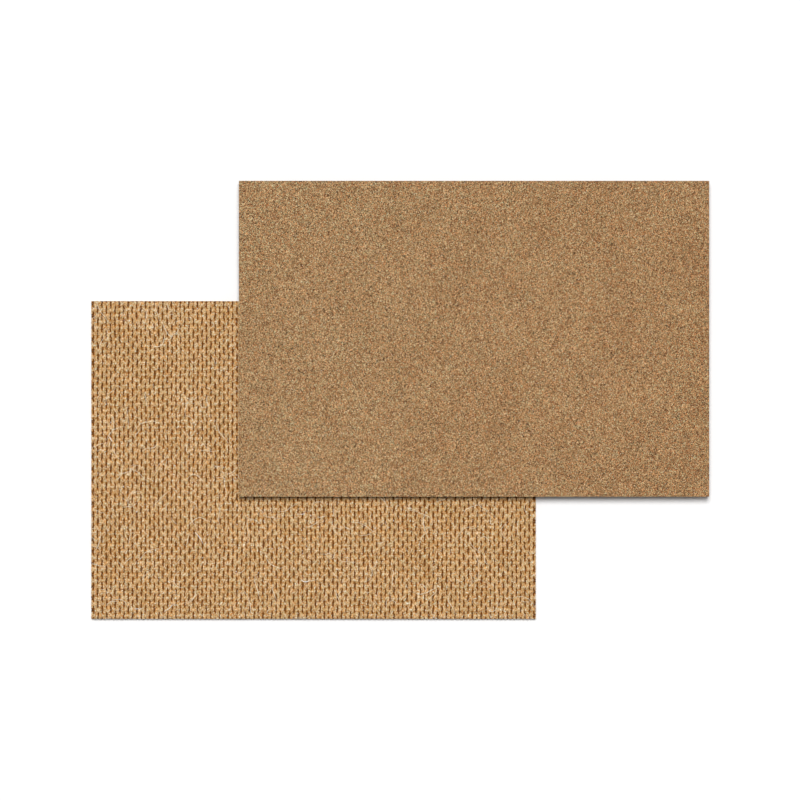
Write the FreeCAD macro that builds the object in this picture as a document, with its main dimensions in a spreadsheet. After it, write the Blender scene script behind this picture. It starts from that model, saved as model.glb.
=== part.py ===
"""A layered coir door mat, drawn in millimetres with +Z up.

A short-pile mat lies loose on a coarse woven base mat, off to one side of it. Both layers have the
same ground weave: flat warp yarns run along Y and rise over and dive under straight weft yarns that
run along X. Neighbouring warps do this the opposite way round. The base mat is bonded to a
sheet of latex, and the top mat's weave carries the pile.
The origin is at the middle of the whole footprint, on the floor.
"""

import FreeCAD, Part
import Sketcher
import os

# Every driving dimension, in millimetres unless the note says otherwise.
DIMENSIONS = (
    ("top_length", 600.0, "pile mat, along X"),
    ("top_width", 403.0, "pile mat, along Y"),
    ("base_length", 568.0, "base mat, along X"),
    ("base_width", 406.0, "base mat, along Y"),
    ("shift_x", 205.0, "middle of the pile mat from the middle of the base mat, along X"),
    ("shift_y", 154.7, "the same, along Y"),
    ("latex_thickness", 1.2, "non-slip sheet under the base mat"),
    ("pile_height", 7.1, "sheared pile above the top mat's weave"),
    ("pile_bevel", 0.8, "how far the sheared pile's top edge is worn back"),
    ("warp_pitch", 5.57, "wanted spacing of the warp yarns along X"),
    ("warp_thickness", 1.8, "flattened warp yarn, measured upright"),
    ("warp_gap", 0.36, "air between neighbouring warp yarns"),
    ("warp_rise", 2.5, "warp yarn's middle above the weft's middle where it passes over it"),
    ("weft_pitch", 7.52, "wanted spacing of the weft yarns along Y"),
    ("weft_diameter", 2.0, "round weft yarn"),
    ("sheet_clearance", 0.3, "air between a weave and the sheet or pile beside it"),
    ("layer_gap", 0.5, "air between the two mats, so that one slides over the other"),
)
doc = FreeCAD.newDocument("door_mat")
sheet = doc.addObject("Spreadsheet::Sheet", "Sheet")


def fill_sheet():
    """Writes the driving dimensions, and the few lengths that several pieces share."""
    row = 0
    for row, (alias, value, note) in enumerate(DIMENSIONS, start=1):
        sheet.set(f"A{row}", note)
        sheet.set(f"B{row}", str(value))
        sheet.setAlias(f"B{row}", alias)
    derived = (
        ("weave_height", "=2 * warp_rise + warp_thickness"),
        ("base_middle_x", "=-(shift_x + (top_length - base_length) / 2) / 2"),
        ("base_middle_y", "=-(shift_y + (top_width - base_width) / 2) / 2"),
        ("top_middle_x", "=(shift_x - (top_length - base_length) / 2) / 2"),
        ("top_middle_y", "=(shift_y - (top_width - base_width) / 2) / 2"),
        ("base_weave_floor", "=latex_thickness + sheet_clearance"),
        ("top_weave_floor", "=base_weave_floor + weave_height + layer_gap"),
        ("pile_floor", "=top_weave_floor + weave_height + sheet_clearance"),
    )
    for row, (alias, formula) in enumerate(derived, start=row + 1):
        sheet.set(f"A{row}", "worked out")
        sheet.set(f"B{row}", formula)
        sheet.setAlias(f"B{row}", alias)
    doc.recompute()


def plane_of(body, role):
    """One of a body's own origin planes."""
    return next(x for x in body.Origin.OriginFeatures if x.Role == role)


def rectangle_sketch(body, name, length, width):
    """A rectangle about the body's origin, its two sides bound to cells of the sheet."""
    sketch = body.newObject("Sketcher::SketchObject", name)
    sketch.AttachmentSupport = (plane_of(body, "XY_Plane"), [""])
    sketch.MapMode = "FlatFace"
    half_x = sheet.get(length) / 2
    half_y = sheet.get(width) / 2
    corners = [(-half_x, -half_y), (half_x, -half_y), (half_x, half_y), (-half_x, half_y)]
    for here, there in zip(corners, corners[1:] + corners[:1]):
        sketch.addGeometry(Part.LineSegment(FreeCAD.Vector(*here, 0), FreeCAD.Vector(*there, 0)))
    start, end = 1, 2
    for side in range(4):
        sketch.addConstraint(Sketcher.Constraint("Coincident", side, end, (side + 1) % 4, start))
    for side in (0, 2):
        sketch.addConstraint(Sketcher.Constraint("Horizontal", side))
    for side in (1, 3):
        sketch.addConstraint(Sketcher.Constraint("Vertical", side))
    origin_point = (-1, 1)
    sketch.addConstraint(Sketcher.Constraint("Symmetric", 0, start, 2, start, *origin_point))
    for label, kind, side, cell in (
        ("length", "DistanceX", 0, length),
        ("width", "DistanceY", 1, width),
    ):
        size = sheet.get(cell)
        at = sketch.addConstraint(Sketcher.Constraint(kind, side, start, side, end, size))
        sketch.renameConstraint(at, label)
        sketch.setExpression(f"Constraints.{label}", f"Sheet.{cell}")
    return sketch


def bind_place(piece, x, y, z):
    """Puts a piece where three formulas of the sheet say."""
    for axis, formula in zip("xyz", (x, y, z)):
        piece.setExpression(f".Placement.Base.{axis}", formula)


def slab(label, length, width, thickness, place):
    """A rectangular sheet: a sketch and a pad, with its underside at the place given."""
    body = doc.addObject("PartDesign::Body", f"{label}_body")
    body.Label = label
    pad = body.newObject("PartDesign::Pad", f"{label}_pad")
    pad.Profile = rectangle_sketch(body, f"{label}_outline", length, width)
    pad.setExpression("Length", f"Sheet.{thickness}")
    bind_place(body, *place)
    doc.recompute()
    return body, pad


def latex_backing():
    """The base mat's sheet of non-slip latex, which lies on the floor."""
    place = ("Sheet.base_middle_x", "Sheet.base_middle_y", "0")
    body, _ = slab("base_latex_backing", "base_length", "base_width", "latex_thickness", place)
    return body


def pile():
    """The top mat's pile, as the block that its sheared fibres fill, worn back at the top edges."""
    place = ("Sheet.top_middle_x", "Sheet.top_middle_y", "Sheet.pile_floor")
    body, pad = slab("top_coir_pile", "top_length", "top_width", "pile_height", place)
    top = sheet.get("pile_height")
    rim = [
        f"Edge{i}"
        for i, edge in enumerate(pad.Shape.Edges, start=1)
        if all(abs(v.Z - top) < 1e-6 for v in edge.Vertexes)
    ]
    bevel = body.newObject("PartDesign::Chamfer", "top_coir_pile_bevel")
    bevel.Base = (pad, rim)
    bevel.setExpression("Size", "Sheet.pile_bevel")
    doc.recompute()
    return body


def count(extent, pitch):
    """How many yarns of about the wanted pitch fill an extent of the sheet."""
    return round(sheet.get(extent) / sheet.get(pitch))


def weft_yarns(layer):
    """Straight round yarns along X, one cylinder each, grouped in one piece."""
    total = count(f"{layer}_width", "weft_pitch")
    middle_z = f"Sheet.{layer}_weave_floor + Sheet.weave_height / 2"
    rods = []
    for i in range(total):
        rod = doc.addObject("Part::Cylinder", f"{layer}_weft_{i + 1}")
        rod.setExpression("Radius", "Sheet.weft_diameter / 2")
        rod.setExpression("Height", f"Sheet.{layer}_length")
        rod.Placement.Rotation = FreeCAD.Rotation(FreeCAD.Vector(0, 1, 0), 90)
        share = (i + 0.5) / total - 0.5
        bind_place(
            rod,
            f"Sheet.{layer}_middle_x - Sheet.{layer}_length / 2",
            f"Sheet.{layer}_middle_y + {share} * Sheet.{layer}_width",
            middle_z,
        )
        rods.append(rod)
    group = doc.addObject("Part::Compound", f"{layer}_wefts")
    group.Links = rods
    group.Label = f"{layer}_weft_yarns"
    return group


def warp_yarn(layer, first_over):
    """One flat yarn along Y, zigzagging over and under the wefts, its left side at X = 0.

    Its straight runs cross the middle of the weave half-way between two wefts, and both cut ends
    lie on such a crossing. first_over is 1 for a yarn that passes over the first weft, and -1 for
    one that passes under it.
    """
    width = sheet.get(f"{layer}_width")
    wefts = count(f"{layer}_width", "weft_pitch")
    half_thickness = sheet.get("warp_thickness") / 2
    middle = [(-width / 2, 0.0)]
    for i in range(wefts):
        over = first_over * (-1) ** i
        middle.append((width * ((i + 0.5) / wefts - 0.5), over * sheet.get("warp_rise")))
    middle.append((width / 2, 0.0))
    upper = [FreeCAD.Vector(0, y, z + half_thickness) for y, z in middle]
    lower = [FreeCAD.Vector(0, y, z - half_thickness) for y, z in reversed(middle)]
    outline = Part.makePolygon(upper + lower + upper[:1])
    breadth = sheet.get(f"{layer}_length") / count(f"{layer}_length", "warp_pitch")
    breadth -= sheet.get("warp_gap")
    return Part.Face(outline).extrude(FreeCAD.Vector(breadth, 0, 0))


def warp_yarns(layer, label, first, first_over):
    """Every second warp yarn of a layer, from the first one given, grouped in one piece."""
    length = sheet.get(f"{layer}_length")
    total = count(f"{layer}_length", "warp_pitch")
    pitch = length / total
    yarn = warp_yarn(layer, first_over)
    inset = sheet.get("warp_gap") / 2 - length / 2
    yarns = [yarn.translated(FreeCAD.Vector(inset + i * pitch, 0, 0)) for i in range(first, total, 2)]
    group = doc.addObject("Part::Feature", f"{layer}_{label}")
    group.Shape = Part.makeCompound(yarns)
    group.Label = f"{layer}_{label}"
    bind_place(
        group,
        f"Sheet.{layer}_middle_x",
        f"Sheet.{layer}_middle_y",
        f"Sheet.{layer}_weave_floor + Sheet.weave_height / 2",
    )
    return group


def weave(layer):
    """The ground weave of a layer, in three pieces."""
    return [
        weft_yarns(layer),
        warp_yarns(layer, "warp_yarns_odd", 0, 1),
        warp_yarns(layer, "warp_yarns_even", 1, -1),
    ]


def check(pieces):
    """Stops with a message if any object failed to build or any piece has no valid solid."""
    for item in doc.Objects:
        if "Invalid" in item.State or "Error" in item.State:
            raise RuntimeError(f"{item.Label} did not build: {item.State}")
    for piece in pieces:
        if piece.Shape.isNull() or not piece.Shape.isValid() or not piece.Shape.Solids:
            raise RuntimeError(f"{piece.Label} has no valid solid")


def export(pieces):
    """Writes one STEP file for each piece, named after it."""
    os.makedirs("parts", exist_ok=True)
    for piece in pieces:
        piece.Shape.exportStep(f"parts/{piece.Label}.step")
        box = piece.Shape.BoundBox
        print(f"{piece.Label}: {len(piece.Shape.Solids)} solids, {piece.Shape.Volume / 1000:.1f} cm3,")
        print(f"    X {box.XMin:.1f} {box.XMax:.1f}  Y {box.YMin:.1f} {box.YMax:.1f}"
              f"  Z {box.ZMin:.2f} {box.ZMax:.2f}")


fill_sheet()
pieces = [latex_backing(), *weave("base"), *weave("top"), pile()]
doc.recompute()
check(pieces)
export(pieces)
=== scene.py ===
"""A layered coir door mat: a sheared pile mat lying askew on a coarse woven base mat.

Everything is in metres, in the CAD model's frame. The ground weaves are made yarn by yarn, the pile
as a relief of clumped tips with loose fibre ends lying in it, and the latex as a thin sheet.
The pile mat lies on the base mat, further to the right (+X) and to the far side (+Y).
"""

import itertools
import math

import bpy
import numpy as np
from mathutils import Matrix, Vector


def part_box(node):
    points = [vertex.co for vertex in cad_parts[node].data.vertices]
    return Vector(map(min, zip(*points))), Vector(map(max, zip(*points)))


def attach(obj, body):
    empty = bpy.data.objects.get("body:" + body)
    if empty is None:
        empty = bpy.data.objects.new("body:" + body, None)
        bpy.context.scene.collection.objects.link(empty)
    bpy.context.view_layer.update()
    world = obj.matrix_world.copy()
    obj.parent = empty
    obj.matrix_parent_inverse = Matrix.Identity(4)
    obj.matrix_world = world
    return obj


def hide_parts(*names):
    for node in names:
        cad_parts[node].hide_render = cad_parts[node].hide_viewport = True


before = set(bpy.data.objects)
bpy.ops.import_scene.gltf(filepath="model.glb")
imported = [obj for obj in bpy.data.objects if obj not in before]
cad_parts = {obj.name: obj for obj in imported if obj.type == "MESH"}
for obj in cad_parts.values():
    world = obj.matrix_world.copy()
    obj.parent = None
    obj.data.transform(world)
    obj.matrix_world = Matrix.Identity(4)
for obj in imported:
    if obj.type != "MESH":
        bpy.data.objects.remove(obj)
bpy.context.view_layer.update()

MM = 0.001
TABLE_CELLS = 64  # the random table behind smooth_noise repeats after this many cells
SHARP_ANGLE = math.radians(65)  # edges that turn more than this aren't shaded smooth
BAKE_MAP = "OFBake"  # the UV map that holds the yarns' strips
STRIP_FROM = 0.01  # a yarn's strip on that map starts here, past the disc of its end

# The weave. The pitches are the CAD model's. Heights are from the weave's middle.
WARP_PITCH = 5.57 * MM
WEFT_PITCH = 7.52 * MM
CROWN_WIDTH = 9.8 * MM  # a warp's width where it passes over or under a weft
CROWN_TOP = 3.2 * MM  # its middle line there
CROWN_SIDE = 2.6 * MM  # its flanks there, and as far as they stay up
CROWN_UNDERSIDE = 0.9 * MM  # its underside there, just clear of the weft
FLANK_LOW = -1.2 * MM  # its flanks where it passes under a weft
GROOVE_WIDTH = 0.18  # the slit down a sunken warp's middle, in half widths
CROWN_SPREAD = 0.2  # how much the crowns' widths vary, as a share
CROWN_SLACK = 0.3  # how much the crowns' lengths vary, in units of the wave
LEAN = 0.4 * MM  # how far each crown's ends lean to one side
RING_ABOVE = (0.94, 0.34, 0.13, 0.0, -0.13, -0.34, -0.94)  # places across a warp, in half widths
RING_BELOW = (-0.8, -0.4, 0.0, 0.4, 0.8)
WEFT_WIDTH = 2.6 * MM
WEFT_HEIGHT = 2.2 * MM
WEFT_CORNERS = 8
WEFT_TWIST = 9.0 * MM  # length of one turn of the weft's two plies
CROWN_LEVEL = 2.4 * MM  # fibre ends lie on what is higher than this
FUZZ_LEVEL = 3.4 * MM  # and no higher than this
HAIR_LEVEL = 3.25 * MM  # where the long loose fibres lie
HAIR_STEPS = 14
HAIR_CORNERS = 4

# The latex sheet.
LATEX_GRID = 4.0 * MM

# The pile.
PILE_GRID = 1.6 * MM
PILE_SIDE_ROWS = (0.3, 0.6, 0.85)  # heights on the pile's sides, as shares of the whole
PILE_RIM_DROP = 0.35 * MM  # how far the pile's top is rounded down along its edges
PILE_INSET = 0.8 * MM  # how far loose fibre ends stay from the edges

# The camera, floor and light.
VIEW_WIDTH = 1.0213  # what the picture's width shows, at the height VIEW_PLANE
VIEW_PLANE = 0.016
CAMERA_LENS = 300.0
CAMERA_SENSOR = 36.0
CAMERA_REACH = 100.0
FLOOR_HALF = 20.0
FLOOR_GREY = 0.75
HORIZON_LIGHT = 1.1
SKY_LIGHT = 0.235
HORIZON_HEIGHT = 0.22  # where the white horizon has faded into the sky, as the sine of its angle
SUN_WIDTH = math.radians(24)
SUN_TILT = math.radians(15)
SUN_LIGHT = 3.74


# ---------------------------------------------------------------- random fields and plain meshes


def smooth_noise(seed, *axes):
    """Smooth random values from -1 to 1, at points given one array for each axis in cells."""
    table = np.random.default_rng(seed).uniform(-1, 1, (TABLE_CELLS,) * len(axes))
    cells = [np.floor(a).astype(int) for a in axes]
    shares = [a - c for a, c in zip(axes, cells)]
    shares = [t * t * (3 - 2 * t) for t in shares]
    total = 0.0
    for corner in itertools.product((0, 1), repeat=len(axes)):
        weight = 1.0
        for one, t in zip(corner, shares):
            weight = weight * (t if one else 1 - t)
        at = tuple((c + one) % TABLE_CELLS for c, one in zip(cells, corner))
        total = total + weight * table[at]
    return total


def smooth_step(low, high, value):
    """0 below low, 1 above high and a smooth rise between them."""
    t = np.clip((value - low) / (high - low), 0, 1)
    return t * t * (3 - 2 * t)


def mesh_piece(name, points, faces, material):
    """An object from points and a list of arrays of faces, each array with its own corner count."""
    mesh = bpy.data.meshes.new(name)
    points = np.asarray(points, np.float32).reshape(-1, 3)
    corners = np.concatenate([f.ravel() for f in faces]).astype(np.int32)
    totals = np.concatenate([np.full(len(f), f.shape[1]) for f in faces]).astype(np.int32)
    starts = np.concatenate([[0], np.cumsum(totals)[:-1]]).astype(np.int32)
    mesh.vertices.add(len(points))
    mesh.vertices.foreach_set("co", points.ravel())
    mesh.loops.add(len(corners))
    mesh.loops.foreach_set("vertex_index", corners)
    mesh.polygons.add(len(totals))
    mesh.polygons.foreach_set("loop_start", starts)
    mesh.polygons.foreach_set("loop_total", totals)
    mesh.polygons.foreach_set("use_smooth", np.ones(len(totals), bool))
    mesh.update(calc_edges=True)
    mesh.validate()
    mesh.set_sharp_from_angle(angle=SHARP_ANGLE)
    mesh.materials.append(material)
    piece = bpy.data.objects.new(name, mesh)
    bpy.context.scene.collection.objects.link(piece)
    return piece


def strands(name, rings, material):
    """Closed tubes from rings of points, an array of strand, ring, corner and axis."""
    count, along, around = rings.shape[:3]
    index = np.arange(count * along * around).reshape(count, along, around)
    here, there = index[:, :-1], index[:, 1:]
    sides = np.stack(
        [there, np.roll(there, -1, 2), np.roll(here, -1, 2), here], axis=-1
    ).reshape(-1, 4)
    first = index[:, 0]
    last = index[:, -1, ::-1]
    piece = mesh_piece(name, rings, [sides, first, last], material)
    strip_map(piece.data, count, along, around)
    return piece


def strip_map(mesh, count, along, around):
    """UVs for strands: a strip for each, its length along U, and a small disc for each end."""
    i, r, c = np.meshgrid(
        np.arange(count), np.arange(along - 1), np.arange(around), indexing="ij"
    )
    step = (1 - 2 * STRIP_FROM) / (along - 1)
    u = STRIP_FROM + step * np.stack([r + 1, r + 1, r, r], axis=-1)
    v = (i[..., None] + 0.95 * np.stack([c, c + 1, c + 1, c], axis=-1) / around) / count
    turn = np.arange(around) * math.tau / around
    disc = STRIP_FROM / 2 * (1 + 0.8 * np.cos(turn))
    rise = (np.arange(count)[:, None] + 0.5 + 0.4 * np.sin(turn)) / count
    ends = [np.stack(np.broadcast_arrays(at, rise), axis=-1) for at in (disc, 1 - disc)]
    corners = [np.stack([u, v], axis=-1), *ends]
    layer = mesh.uv_layers.new(name=BAKE_MAP)
    layer.data.foreach_set("uv", np.concatenate([uv.reshape(-1, 2) for uv in corners]).ravel())


def flecks(name, middles, ways, lengths, widths, material):
    """Short straight fibre ends, each tapering to a point both ways."""
    ways = ways / np.linalg.norm(ways, axis=1, keepdims=True)
    across = np.cross(ways, [0.0, 0.0, 1.0])
    flat = np.linalg.norm(across, axis=1) < 1e-3
    across[flat] = [1.0, 0.0, 0.0]
    across /= np.linalg.norm(across, axis=1, keepdims=True)
    upward = np.cross(across, ways)
    half = ways * lengths[:, None] / 2
    points = [middles - half, middles + half]
    for turn in (0, 1, 2):
        angle = math.pi / 2 + turn * math.tau / 3
        out = math.cos(angle) * across + math.sin(angle) * upward
        points.append(middles + out * widths[:, None] / 2)
    points = np.stack(points, axis=1)
    corners = np.array(
        [[0, 3, 2], [0, 4, 3], [0, 2, 4], [1, 2, 3], [1, 3, 4], [1, 4, 2]]
    )
    faces = (np.arange(len(middles))[:, None, None] * 5 + corners).reshape(-1, 3)
    return mesh_piece(name, points, [faces], material)


# ---------------------------------------------------------------- materials


class Nodes:
    """A material's node tree, with short ways to add what the materials here need."""

    def __init__(self, name, roughness):
        self.material = bpy.data.materials.new(name)
        self.material.use_nodes = True
        self.tree = self.material.node_tree
        self.shader = self.tree.nodes["Principled BSDF"]
        self.shader.inputs["Roughness"].default_value = roughness
        self.shader.inputs["Specular IOR Level"].default_value = 0.25
        self.place = self.tree.nodes.new("ShaderNodeTexCoord").outputs["Object"]

    def add(self, kind, **settings):
        node = self.tree.nodes.new(kind)
        for key, value in settings.items():
            setattr(node, key, value)
        return node

    def link(self, out, into):
        self.tree.links.new(out, into)

    def mapped(self, sizes, turn=0.0, tilt=0.0):
        """The object's coordinates turned about Z, tilted, and divided by a size on each axis."""
        turned = self.add("ShaderNodeVectorRotate", rotation_type="EULER_XYZ")
        turned.inputs["Rotation"].default_value = (tilt, 0.0, turn)
        self.link(self.place, turned.inputs["Vector"])
        scaled = self.add("ShaderNodeVectorMath", operation="DIVIDE")
        scaled.inputs[1].default_value = sizes
        self.link(turned.outputs["Vector"], scaled.inputs[0])
        return scaled.outputs["Vector"]

    def noise(self, sizes, detail=2.0, turn=0.0):
        """Smooth random values from 0 to 1, with a size on each axis."""
        node = self.add("ShaderNodeTexNoise")
        node.inputs["Scale"].default_value = 1.0
        node.inputs["Detail"].default_value = detail
        self.link(self.mapped(sizes, turn), node.inputs["Vector"])
        return node.outputs["Fac"]

    def cells(self, sizes, turn=0.0, tilt=0.0):
        """Three random values, as a colour, for each of the cells of a stretched pattern."""
        node = self.add("ShaderNodeTexVoronoi", feature="F1")
        node.inputs["Scale"].default_value = 1.0
        self.link(self.mapped(sizes, turn, tilt), node.inputs["Vector"])
        return node.outputs["Color"]

    def parts(self, colour):
        """The colour's Red, Green and Blue outputs."""
        node = self.add("ShaderNodeSeparateColor")
        self.link(colour, node.inputs["Color"])
        return node.outputs

    def axis(self, name):
        """One of the object's coordinates, X, Y or Z."""
        node = self.add("ShaderNodeSeparateXYZ")
        self.link(self.place, node.inputs["Vector"])
        return node.outputs[name]

    def ramp(self, value, stops, smooth=False):
        """A colour for the value, from two or more (place, colour) stops."""
        node = self.add("ShaderNodeValToRGB")
        if smooth:
            node.color_ramp.interpolation = "EASE"
        elements = node.color_ramp.elements
        while len(elements) < len(stops):
            elements.new(0.5)
        for element, (at, colour) in zip(elements, stops):
            element.position = at
            element.color = (*colour, 1.0)
        self.link(value, node.inputs["Fac"])
        return node.outputs["Color"]

    def span(self, value, low, high, to_low=0.0, to_high=1.0):
        """The value's range from low to high, changed smoothly into another range."""
        node = self.add("ShaderNodeMapRange", interpolation_type="SMOOTHSTEP")
        for key, number in zip(
            ("From Min", "From Max", "To Min", "To Max"), (low, high, to_low, to_high)
        ):
            node.inputs[key].default_value = number
        self.link(value, node.inputs["Value"])
        return node.outputs["Result"]

    def above(self, value, limit):
        """1 where the value is above the limit, and 0 elsewhere."""
        node = self.add("ShaderNodeMath", operation="GREATER_THAN")
        node.inputs[1].default_value = limit
        self.link(value, node.inputs[0])
        return node.outputs["Value"]

    def mix(self, share, first, second, blend="MIX"):
        """Two colours mixed. A share or colour may be a number or tuple instead of a link."""
        node = self.add("ShaderNodeMix", data_type="RGBA", blend_type=blend)
        sockets = (node.inputs[0], node.inputs[6], node.inputs[7])
        for socket, value in zip(sockets, (share, first, second)):
            if isinstance(value, bpy.types.NodeSocket):
                self.link(value, socket)
            elif isinstance(value, tuple):
                socket.default_value = (*value, 1.0)
            else:
                socket.default_value = value
        return node.outputs[2]

    def finish(self, colour, height, depth):
        """Links the colour, and a bump from a height pattern that stands for a depth in metres."""
        self.link(colour, self.shader.inputs["Base Color"])
        node = self.add("ShaderNodeBump")
        node.inputs["Strength"].default_value = 0.6
        node.inputs["Distance"].default_value = depth
        self.link(height, node.inputs["Height"])
        self.link(node.outputs["Normal"], self.shader.inputs["Normal"])
        return self.material


def felt(n, long, wide):
    """Random tone and hue values for each short fibre of a felt that lies in every direction."""
    layers = [
        n.cells((long, wide, wide), turn=math.radians(angle), tilt=0.4)
        for angle in (12, 74, 133)
    ]
    patch = n.noise((wide * 1.7,) * 3, detail=0.0)
    other = n.noise((wide * 2.3,) * 3, detail=0.0, turn=1.1)
    mixed = n.mix(n.above(patch, 0.5), layers[0], layers[1])
    found = n.parts(n.mix(n.above(other, 0.55), mixed, layers[2]))
    return found["Red"], found["Green"]


def hued(n, colour, hue, redder, greyer):
    """The colour multiplied, fibre by fibre, by something between two other colours."""
    tint = n.ramp(hue, ((0.0, redder), (0.5, (1.0, 1.0, 1.0)), (1.0, greyer)))
    return n.mix(1.0, colour, tint, "MULTIPLY")


def pile_material():
    """Short coir ends in every direction, from dark brown to straw, in uneven patches."""
    n = Nodes("coir_pile", 0.85)
    tone, hue = felt(n, 1.15 * MM, 0.8 * MM)
    colour = n.ramp(
        tone,
        (
            (0.0, (0.018, 0.007, 0.003)),
            (0.16, (0.080, 0.033, 0.013)),
            (0.35, (0.210, 0.110, 0.046)),
            (0.6, (0.338, 0.198, 0.085)),
            (0.84, (0.465, 0.315, 0.155)),
            (1.0, (0.680, 0.530, 0.310)),
        ),
    )
    colour = hued(n, colour, hue, (1.26, 0.83, 0.62), (0.84, 1.13, 1.20))
    redder = n.span(n.axis("X"), -0.2, 0.4)
    colour = n.mix(redder, colour, n.mix(1.0, colour, (0.965, 0.915, 0.88), "MULTIPLY"))
    patch = n.span(n.noise((45 * MM,) * 3, detail=4.0), 0.35, 0.65)
    colour = n.mix(patch, colour, n.mix(1.0, colour, (0.93, 0.90, 0.87), "MULTIPLY"))
    return n.finish(colour, tone, 0.5 * MM)


def warp_material(name, middle):
    """Pale hairy yarn, with painted shade that darkens its deep parts, near the weave's middle, to
    a golden brown.
    """
    n = Nodes(name, 0.8)
    tone, hue = felt(n, 3.0 * MM, 1.1 * MM)
    hair = n.noise((1.3 * MM, 4.5 * MM, 1.3 * MM), detail=2.0, turn=0.3)
    pale = n.ramp(
        tone,
        (
            (0.0, (0.300, 0.148, 0.050)),
            (0.25, (0.420, 0.238, 0.094)),
            (0.5, (0.510, 0.320, 0.148)),
            (0.8, (0.615, 0.435, 0.250)),
            (1.0, (0.710, 0.615, 0.480)),
        ),
    )
    pale = hued(n, pale, hue, (1.16, 0.90, 0.60), (0.90, 1.08, 1.14))
    shade = n.span(hair, 0.36, 0.6)
    pale = n.mix(shade, n.mix(1.0, pale, (0.74, 0.68, 0.60), "MULTIPLY"), pale)
    height = n.add("ShaderNodeMath", operation="SUBTRACT")
    height.inputs[1].default_value = middle
    n.link(n.axis("Z"), height.inputs[0])
    away = n.add("ShaderNodeMath", operation="ABSOLUTE")
    n.link(height.outputs["Value"], away.inputs[0])
    # Painted shade: the nearer a part of the yarn lies to the weave's middle, as down the slits,
    # the darker and more golden it is painted; the parts farthest from it, above and below, get a
    # faint painted highlight.
    depth = n.ramp(
        n.span(away.outputs["Value"], 0.4 * MM, 2.9 * MM),
        (
            (0.0, (0.47, 0.21, 0.015)),
            (0.4, (0.76, 0.50, 0.13)),
            (0.75, (0.95, 0.83, 0.55)),
            (1.0, (1.04, 1.04, 1.05)),
        ),
    )
    colour = n.mix(1.0, pale, depth, "MULTIPLY")
    patch = n.span(n.noise((50 * MM,) * 3, detail=3.0), 0.35, 0.65)
    colour = n.mix(patch, colour, n.mix(1.0, colour, (0.95, 0.93, 0.88), "MULTIPLY"))
    return n.finish(colour, tone, 0.5 * MM)


def weft_material():
    """Dark twisted yarn along X."""
    n = Nodes("weft_yarn", 0.85)
    hair = n.noise((3.5 * MM, 0.7 * MM, 0.7 * MM), detail=2.0, turn=0.3)
    colour = n.ramp(
        hair,
        (
            (0.3, (0.060, 0.024, 0.006)),
            (0.5, (0.140, 0.060, 0.016)),
            (0.7, (0.240, 0.115, 0.038)),
        ),
        smooth=True,
    )
    return n.finish(colour, hair, 0.4 * MM)


def latex_material():
    """Natural latex, cream to pale brown, finely pitted, with painted shade in the pits."""
    n = Nodes("latex", 0.6)
    pits = n.noise((1.6 * MM,) * 3, detail=3.0)
    cloud = n.noise((40 * MM,) * 3, detail=3.0)
    colour = n.ramp(cloud, ((0.3, (0.47, 0.36, 0.21)), (0.7, (0.66, 0.55, 0.38))), smooth=True)
    # Painted shade: darker where the pits sink, the same pattern that drives the bump.
    dark = n.span(pits, 0.3, 0.45, 1.0, 0.0)
    colour = n.mix(dark, colour, n.mix(1.0, colour, (0.6, 0.55, 0.5), "MULTIPLY"))
    return n.finish(colour, pits, 0.3 * MM)


def fibre_material(tint, colour):
    """Loose fibres of one tint, a little lighter or darker from place to place."""
    n = Nodes(f"fibre_{tint}", 0.75)
    tone = n.noise((2.5 * MM,) * 3, detail=1.0)
    darker = tuple(0.78 * part for part in colour)
    lighter = tuple(1.22 * part for part in colour)
    shaded = n.ramp(tone, ((0.3, darker), (0.7, lighter)))
    n.link(shaded, n.shader.inputs["Base Color"])
    return n.material


FIBRE_TINTS = {
    # white: bluish white, used for the painted glints on the base weave's crowns and for a few
    # loose hairs
    "white": (0.80, 0.82, 0.82),
    "pale": (0.70, 0.59, 0.43),
    "straw": (0.48, 0.345, 0.17),
    "tan": (0.31, 0.165, 0.072),
    "russet": (0.22, 0.082, 0.030),
    "dark": (0.048, 0.022, 0.011),
}


# ---------------------------------------------------------------- the woven grounds


def warp_surface(wave, u):
    """Height of a warp's upper surface above the weave's middle, at a place across it.

    wave is 1 where the warp passes over a weft and -1 where it passes under. The flanks stay up
    longer than the middle line, which sinks into a narrow slit between the neighbouring crowns.
    """
    middle = -CROWN_UNDERSIDE + (CROWN_TOP + CROWN_UNDERSIDE) * smooth_step(0.1, 0.92, wave)
    flank = FLANK_LOW + (CROWN_SIDE - FLANK_LOW) * smooth_step(-0.95, -0.7, wave)
    pillow = 1 - u * u
    groove = math.exp(-((u / GROOVE_WIDTH) ** 2))
    return flank + (middle - flank) * np.where(middle > flank, pillow, groove)


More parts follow.
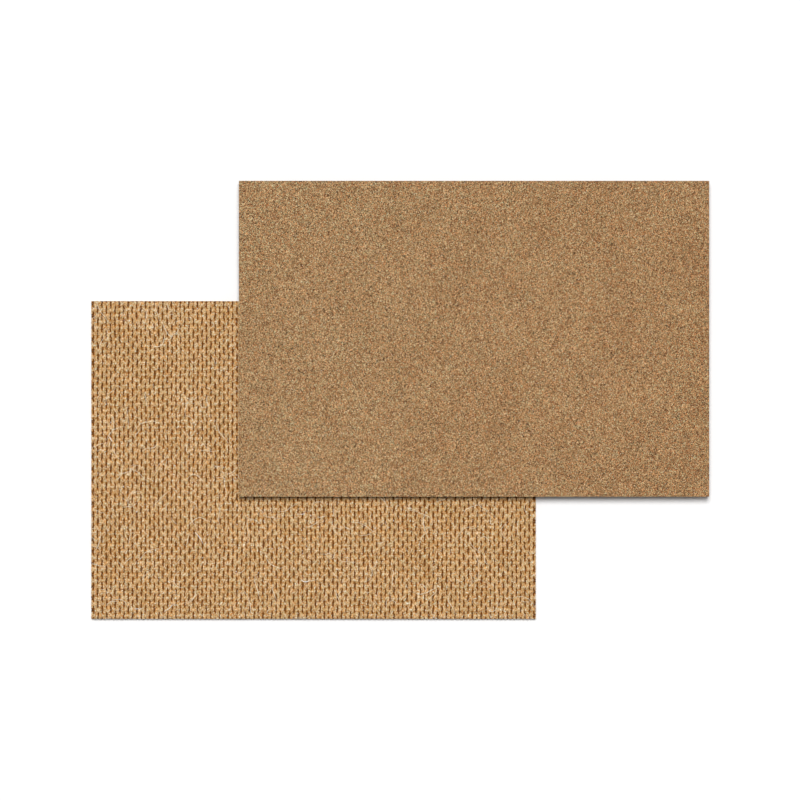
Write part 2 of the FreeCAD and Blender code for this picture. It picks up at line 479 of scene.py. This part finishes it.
class Weave:
    """One layer's ground weave: its box in the CAD model, and how its lattice wanders."""

    def __init__(self, layer, seed):
        self.layer = layer
        self.seed = seed
        low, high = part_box(f"{layer}_warp_yarns_odd")
        weft_low, weft_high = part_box(f"{layer}_weft_yarns")
        self.left, self.right = weft_low.x, weft_high.x
        self.near, self.far = low.y, high.y
        self.middle = (low.z + high.z) / 2
        self.warps = round((self.right - self.left) / WARP_PITCH)
        self.wefts = round((self.far - self.near) / WEFT_PITCH)
        self.warp_pitch = (self.right - self.left) / self.warps
        self.weft_pitch = (self.far - self.near) / self.wefts

    def row_wander(self, x, y):
        """How far the weft rows lie from a straight line, along Y."""
        slow = smooth_noise(self.seed + 1, x / (90 * MM), y / (70 * MM))
        quick = smooth_noise(self.seed + 2, x / (16 * MM), y / (12 * MM))
        return 0.8 * MM * slow + 0.35 * MM * quick

    def column_wander(self, x, y):
        """How far the warp columns lie from a straight line, along X."""
        slow = smooth_noise(self.seed + 3, x / (110 * MM), y / (60 * MM))
        quick = smooth_noise(self.seed + 4, x / (9 * MM), y / (8 * MM))
        return 0.7 * MM * slow + 0.6 * MM * quick

    def warp_rings(self, chosen, rings_per_weft):
        """Rings of points round the chosen warps, counted from the left."""
        y = np.linspace(self.near, self.far, self.wefts * rings_per_weft + 1)
        x = self.left + (chosen[:, None] + 0.5) * self.warp_pitch
        x, y = np.broadcast_arrays(x, y[None, :])
        first_over = np.where(chosen % 2 == 0, 1.0, -1.0)[:, None]
        phase = math.pi * (y - self.near + self.row_wander(x, y)) / self.weft_pitch
        wave = first_over * np.sin(phase)
        size = smooth_noise(self.seed + 5, x / (6 * MM), y / (8 * MM))
        swell = smooth_step(0.15, 0.65, np.abs(wave))
        swell = swell * (1 + CROWN_SPREAD * size)
        half = (self.warp_pitch + (CROWN_WIDTH - self.warp_pitch) * swell) / 2
        slack = CROWN_SLACK * smooth_noise(self.seed + 9, x / (5 * MM), y / (6 * MM))
        shape = [(u, warp_surface(wave + slack, u)) for u in RING_ABOVE]
        shape += [(u, -warp_surface(-wave, u)) for u in RING_BELOW]
        across = np.array([u for u, _ in shape])
        lean = -LEAN * wave * first_over * np.cos(phase)
        px = (x + self.column_wander(x, y) + lean)[..., None] + half[..., None] * across
        py = np.broadcast_to(y[..., None], px.shape)
        pz = self.middle + np.stack([z for _, z in shape], axis=-1)
        lump = smooth_noise(self.seed + 6, px / (1.6 * MM), py / (2.1 * MM), pz / (2 * MM))
        streak = smooth_noise(self.seed + 7, px / (1.1 * MM), py / (5 * MM))
        rough = 0.24 * MM * lump + 0.12 * MM * streak
        px = np.clip(px + rough * across, self.left, self.right)
        side = np.array([1.0] * len(RING_ABOVE) + [-1.0] * len(RING_BELOW))
        return np.stack([px, py, pz + rough * side], axis=-1)

    def weft_rings(self, step):
        """Rings of points round every weft, whose two twisted plies show as a slow spiral."""
        rows = self.near + (np.arange(self.wefts) + 0.5) * self.weft_pitch
        x = np.linspace(self.left, self.right, round((self.right - self.left) / step))
        x, y = np.broadcast_arrays(x[None, :], rows[:, None])
        turn = np.arange(WEFT_CORNERS) * math.tau / WEFT_CORNERS
        spiral = math.tau * x / WEFT_TWIST + 2.4 * y / self.weft_pitch
        ply = 1 + 0.14 * np.cos(2 * (turn - spiral[..., None]))
        lump = smooth_noise(self.seed + 8, x / (2 * MM), y / self.weft_pitch)[..., None]
        size = ply * (1 + 0.1 * lump)
        px = np.broadcast_to(x[..., None], size.shape)
        py = (y - self.row_wander(x, y))[..., None] - WEFT_WIDTH / 2 * size * np.cos(turn)
        pz = self.middle + WEFT_HEIGHT / 2 * size * np.sin(turn)
        return np.stack([px, py, pz], axis=-1)

    def build(self, body, warp_finish, weft_finish, splits, rings_per_weft, weft_step):
        """Every yarn of the layer, in pieces that stand for the layer's three CAD nodes.

        Each group of warps is dealt out to splits pieces, so that no piece has too many faces.
        """
        made = []
        for group, first in (("odd", 0), ("even", 1)):
            chosen = np.arange(first, self.warps, 2)
            for i in range(splits):
                rings = self.warp_rings(chosen[i::splits], rings_per_weft)
                piece = strands(f"{self.layer}_warps_{group}_{i + 1}", rings, warp_finish)
                dress(piece, body, "warp_yarn", f"{self.layer}_warp_yarns_{group}")
                made.append(piece)
        wefts = strands(f"{self.layer}_wefts", self.weft_rings(weft_step), weft_finish)
        dress(wefts, body, "weft_yarn", f"{self.layer}_weft_yarns")
        return [*made, wefts]


def dress(piece, body, slot, *nodes):
    """Says which body a piece rides on, and hides the CAD nodes that it stands for. slot is not
    used.
    """
    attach(piece, body)
    if nodes:
        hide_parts(*nodes)
    return piece


def points_of(piece):
    """The piece's points, a row for each."""
    found = np.empty(len(piece.data.vertices) * 3)
    piece.data.vertices.foreach_get("co", found)
    return found.reshape(-1, 3)


def weave_fuzz(weave, yarns, fibres):
    """Short fibre ends lying on the crowns of the base mat's warps, a piece for each tint; the
    white flecks are painted glints.

    longest and widest are in millimetres.
    """
    rng = np.random.default_rng(weave.seed + 20)
    points = np.concatenate([points_of(p) for p in yarns])
    points = points[points[:, 2] > weave.middle + CROWN_LEVEL]
    made = []
    for tint, number, longest, widest in (
        # white: wide bluish-white flecks, painted glints on the crowns
        ("white", 260, 2.4, 1.6),
        ("pale", 6200, 4.4, 0.8),
        ("straw", 4200, 4.4, 0.8),
        ("tan", 4200, 4.4, 0.8),
        ("russet", 2200, 4.0, 0.8),
        ("dark", 330, 3.0, 1.1),
    ):
        at = points[rng.choice(len(points), number)]
        at = at + rng.normal(0, 0.5 * MM, (number, 3)) * (1, 1, 0.1)
        angle = math.pi / 2 + rng.normal(0, 0.6, number)
        ways = np.stack([np.cos(angle), np.sin(angle), rng.normal(0, 0.08, number)], axis=1)
        lengths = rng.uniform(0.4, 1, number) * longest * MM
        widths = rng.uniform(0.6, 1, number) * widest * MM
        at[:, 2] = np.minimum(at[:, 2] + 0.05 * MM, weave.middle + FUZZ_LEVEL)
        at[:, 0] = np.clip(at[:, 0], weave.left + MM, weave.right - MM)
        at[:, 1] = np.clip(at[:, 1], weave.near + 2 * MM, weave.far - 2 * MM)
        piece = flecks(f"base_fuzz_{tint}", at, ways, lengths, widths, fibres[tint])
        made.append(dress(piece, "base_mat", "warp_yarn"))
    return made


def loose_hairs(weave, fibres):
    """Long curled fibres that lie loose on the base mat's weave, a piece for each tint.

    low and high are the shortest and longest, in millimetres.
    """
    rng = np.random.default_rng(weave.seed + 40)
    share = np.linspace(0, 1, HAIR_STEPS)
    taper = np.sin(math.pi * (0.06 + 0.88 * share))
    made = []
    for tint, number, low, high in (
        ("white", 14, 8, 22),
        ("pale", 260, 10, 40),
        ("russet", 70, 6, 16),
    ):
        length = rng.uniform(low, high, number) * MM
        heading = rng.uniform(0, math.tau, number)
        curl = rng.normal(0, 1.5, number)
        wobble = rng.normal(0, 0.35, (number, HAIR_STEPS)).cumsum(axis=1)
        angle = heading[:, None] + curl[:, None] * share + wobble * 0.5
        step = length[:, None] / (HAIR_STEPS - 1)
        x = rng.uniform(weave.left, weave.right, number)[:, None]
        x = x + np.cumsum(np.cos(angle) * step, axis=1)
        y = rng.uniform(weave.near, weave.far, number)[:, None]
        y = y + np.cumsum(np.sin(angle) * step, axis=1)
        x = np.clip(x, weave.left + MM, weave.right - MM)
        y = np.clip(y, weave.near + MM, weave.far - MM)
        z = np.full_like(x, weave.middle + HAIR_LEVEL)
        radius = rng.uniform(0.22, 0.38, number)[:, None] * MM * taper
        rings = []
        for turn in np.arange(HAIR_CORNERS) * math.tau / HAIR_CORNERS:
            out = radius * math.cos(turn)
            up = 0.7 * radius * math.sin(turn)
            ring = [x - out * np.sin(angle), y + out * np.cos(angle), z + up]
            rings.append(np.stack(ring, axis=-1))
        piece = strands(f"base_hairs_{tint}", np.stack(rings, axis=2), fibres[tint])
        made.append(dress(piece, "base_mat", "warp_yarn"))
    return made


# ---------------------------------------------------------------- the latex sheet


def grid_faces(index, flip=False):
    """Quads between the neighbours of a two-way array of point numbers."""
    corners = [index[:-1, :-1], index[1:, :-1], index[1:, 1:], index[:-1, 1:]]
    quads = np.stack(corners, axis=-1).reshape(-1, 4)
    return quads[:, ::-1] if flip else quads


def slab_mesh(name, x, y, top, bottom, side_points, material):
    """A closed slab: height fields above and below, and rows of points down its sides.

    side_points gets the points along the top's edge, and gives the rows below them as a list.
    """
    across, deep = len(x), len(y)
    gx, gy = np.meshgrid(x, y, indexing="ij")
    upper = np.stack([gx, gy, top], axis=-1).reshape(-1, 3)
    lower = np.stack([gx, gy, bottom], axis=-1).reshape(-1, 3)
    index = np.arange(across * deep).reshape(across, deep)
    rim = np.concatenate([index[:-1, 0], index[-1, :-1], index[:0:-1, -1], index[0, :0:-1]])
    rows = side_points(upper[rim])
    points = [upper, lower, *rows]
    faces = [grid_faces(index), grid_faces(index + across * deep, flip=True)]
    rings = [rim]
    for i in range(len(rows)):
        rings.append(2 * across * deep + i * len(rim) + np.arange(len(rim)))
    rings.append(rim + across * deep)
    for high, low in zip(rings, rings[1:]):
        faces.append(np.stack([low, np.roll(low, -1), np.roll(high, -1), high], axis=-1))
    return mesh_piece(name, np.concatenate(points), faces, material)


def build_latex(finish):
    """The thin latex sheet, wavy where it grips the yarns and dimpled below."""
    low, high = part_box("base_latex_backing")
    x = np.linspace(low.x, high.x, round((high.x - low.x) / LATEX_GRID))
    y = np.linspace(low.y, high.y, round((high.y - low.y) / LATEX_GRID))
    gx, gy = np.meshgrid(x, y, indexing="ij")
    top = high.z + 0.2 * MM * smooth_noise(71, gx / (5 * MM), gy / (5 * MM))
    dimple = 0.05 * MM * (1 + smooth_noise(72, gx / (6 * MM), gy / (6 * MM)))
    piece = slab_mesh("base_latex", x, y, top, low.z + dimple, lambda rim: [], finish)
    return dress(piece, "base_mat", "latex", "base_latex_backing")


# ---------------------------------------------------------------- the pile


def pile_height(x, y, top):
    """The sheared surface: fine tips, clumps of tufts and a slow unevenness, all in metres."""
    tips = smooth_noise(81, x / (2.1 * MM), y / (2.1 * MM))
    tips2 = smooth_noise(82, (x + y) / (2.9 * MM), (x - y) / (2.9 * MM))
    clumps = smooth_noise(83, x / (9 * MM), y / (9 * MM))
    slow = smooth_noise(84, x / (70 * MM), y / (70 * MM))
    return top + MM * (0.16 * tips + 0.07 * tips2 + 0.10 * clumps + 0.12 * slow - 0.25)


def build_pile(finish):
    """The sheared pile as one closed slab, with a relief above and folds down its sides."""
    low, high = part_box("top_coir_pile")
    x = np.linspace(low.x, high.x, round((high.x - low.x) / PILE_GRID) + 1)
    y = np.linspace(low.y, high.y, round((high.y - low.y) / PILE_GRID) + 1)
    gx, gy = np.meshgrid(x, y, indexing="ij")
    top = pile_height(gx, gy, high.z)
    rim_drop = np.zeros_like(top)
    rim_drop[(0, -1), :] = PILE_RIM_DROP
    rim_drop[:, (0, -1)] = PILE_RIM_DROP
    height = high.z - low.z
    middle = np.array([(low.x + high.x) / 2, (low.y + high.y) / 2])
    half = np.array([(high.x - low.x) / 2, (high.y - low.y) / 2])

    def sides(rim):
        """Rows of points down the pile's sides, in upright folds like bundles of fibre."""
        rows = []
        for share in reversed(PILE_SIDE_ROWS):
            row = rim.copy()
            row[:, 2] = low.z + share * height
            along = row[:, 0] + row[:, 1] * 1.37
            fold = smooth_noise(85, along / (2.3 * MM), np.full(len(row), share * 1.5))
            out = (row[:, :2] - middle) / half
            way = np.where(np.abs(out) > 1 - 1e-6, np.sign(out), 0.0)
            row[:, :2] += way * MM * (0.3 * fold[:, None] - 0.3)
            rows.append(row)
        return rows

    bottom = np.full_like(top, low.z)
    piece = slab_mesh("pile_field", x, y, top - rim_drop, bottom, sides, finish)
    return dress(piece, "pile_mat", "coir_pile", "top_coir_pile")


def pile_tips(fibres):
    """Loose fibre ends lying in the sheared surface in every direction, a piece for each tint."""
    low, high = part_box("top_coir_pile")
    rng = np.random.default_rng(90)
    made = []
    for tint, number in (
        ("pale", 6000),
        ("straw", 10000),
        ("tan", 11000),
        ("russet", 11000),
        ("dark", 3600),
    ):
        x = rng.uniform(low.x + PILE_INSET, high.x - PILE_INSET, number)
        y = rng.uniform(low.y + PILE_INSET, high.y - PILE_INSET, number)
        z = pile_height(x, y, high.z) + rng.uniform(-0.1, 0.3, number) * MM
        angle = rng.uniform(0, math.tau, number)
        ways = np.stack([np.cos(angle), np.sin(angle), rng.normal(0, 0.25, number)], axis=1)
        lengths = rng.uniform(0.9, 1.9, number) * MM
        widths = rng.uniform(0.6, 1.1, number) * MM
        at = np.stack([x, y, z], axis=1)
        piece = flecks(f"pile_tips_{tint}", at, ways, lengths, widths, fibres[tint])
        made.append(dress(piece, "pile_mat", "coir_pile"))
    return made


def pile_fringe(fibres):
    """Upright cut fibres along the four sides of the pile, a piece for each tint."""
    low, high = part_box("top_coir_pile")
    rng = np.random.default_rng(95)
    length, width, height = high.x - low.x, high.y - low.y, high.z - low.z
    made = []
    for tint, number in (
        ("pale", 700),
        ("straw", 2600),
        ("tan", 3000),
        ("russet", 1500),
        ("dark", 150),
    ):
        way = rng.uniform(0, 2 * (length + width), number)
        inset = rng.uniform(0.0, 0.5, number) * MM
        on_long = way < 2 * length
        along = np.where(on_long, way % length, (way - 2 * length) % width)
        far_side = np.where(on_long, way >= length, way - 2 * length >= width)
        side_x = np.where(far_side, high.x - inset, low.x + inset)
        side_y = np.where(far_side, high.y - inset, low.y + inset)
        x = np.where(on_long, low.x + along, side_x)
        y = np.where(on_long, side_y, low.y + along)
        lengths = rng.uniform(0.6, 0.95, number) * height
        z = low.z + lengths / 2 + rng.uniform(0, 1, number) * (height - lengths)
        lean_x = rng.normal(0, 0.1, number) * on_long
        lean_y = rng.normal(0, 0.1, number) * ~on_long
        ways = np.stack([lean_x, lean_y, np.ones(number)], axis=1)
        widths = rng.uniform(0.4, 0.8, number) * MM
        at = np.stack([x, y, z], axis=1)
        piece = flecks(f"pile_fringe_{tint}", at, ways, lengths, widths, fibres[tint])
        made.append(dress(piece, "pile_mat", "coir_pile"))
    return made


# ---------------------------------------------------------------- floor, lights and camera


def build_stage():
    """A plain pale floor."""
    n = Nodes("floor", 0.9)
    n.shader.inputs["Base Color"].default_value = (FLOOR_GREY, FLOOR_GREY, FLOOR_GREY, 1.0)
    n.shader.inputs["Specular IOR Level"].default_value = 0.0
    corners = [(x * FLOOR_HALF, y * FLOOR_HALF, 0) for x, y in ((-1, -1), (1, -1), (1, 1), (-1, 1))]
    floor = mesh_piece("floor", corners, [np.array([[0, 1, 2, 3]])], n.material)
    return floor


def build_lights():
    """A wide soft sun, a little towards +Y, and a pale surrounding that is white at the horizon."""
    world = bpy.data.worlds.new("studio")
    world.use_nodes = True
    tree = world.node_tree
    place = tree.nodes.new("ShaderNodeTexCoord")
    split = tree.nodes.new("ShaderNodeSeparateXYZ")
    fade = tree.nodes.new("ShaderNodeMapRange")
    fade.interpolation_type = "SMOOTHSTEP"
    fade.inputs["From Min"].default_value = 0.0
    fade.inputs["From Max"].default_value = HORIZON_HEIGHT
    fade.inputs["To Min"].default_value = HORIZON_LIGHT
    fade.inputs["To Max"].default_value = SKY_LIGHT
    background = tree.nodes["Background"]
    background.inputs["Color"].default_value = (1.0, 1.0, 1.0, 1.0)
    tree.links.new(place.outputs["Generated"], split.inputs["Vector"])
    tree.links.new(split.outputs["Z"], fade.inputs["Value"])
    tree.links.new(fade.outputs["Result"], background.inputs["Strength"])
    bpy.context.scene.world = world
    lamp = bpy.data.lights.new("key", "SUN")
    lamp.angle = SUN_WIDTH
    lamp.energy = SUN_LIGHT
    key = bpy.data.objects.new("key", lamp)
    key.rotation_euler = (-SUN_TILT, 0.0, 0.0)
    bpy.context.scene.collection.objects.link(key)


def build_camera():
    """Straight down from far above, so that the mats' upright sides don't show."""
    camera = bpy.data.cameras.new("camera")
    camera.sensor_width = CAMERA_SENSOR
    camera.lens = CAMERA_LENS
    camera.clip_end = CAMERA_REACH
    placed = bpy.data.objects.new("camera", camera)
    placed.location = (0.0, 0.0, VIEW_PLANE + VIEW_WIDTH * CAMERA_LENS / CAMERA_SENSOR)
    bpy.context.scene.collection.objects.link(placed)
    bpy.context.scene.camera = placed


build_camera()
build_lights()
floor = build_stage()
bpy.context.scene.view_settings.view_transform = "Standard"

fibres = {tint: fibre_material(tint, colour) for tint, colour in FIBRE_TINTS.items()}
base = Weave("base", 100)
top = Weave("top", 200)
weft_finish = weft_material()

latex = build_latex(latex_material())
base_yarns = base.build(
    "base_mat",
    warp_material("base_warp", base.middle),
    weft_finish,
    splits=2,
    rings_per_weft=6,
    weft_step=2.5 * MM,
)
base_trim = weave_fuzz(base, base_yarns[:-1], fibres) + loose_hairs(base, fibres)
top_yarns = top.build(
    "pile_mat",
    warp_material("top_warp", top.middle),
    weft_finish,
    splits=1,
    rings_per_weft=3,
    weft_step=5.0 * MM,
)
pile = build_pile(pile_material())
pile_trim = pile_tips(fibres) + pile_fringe(fibres)
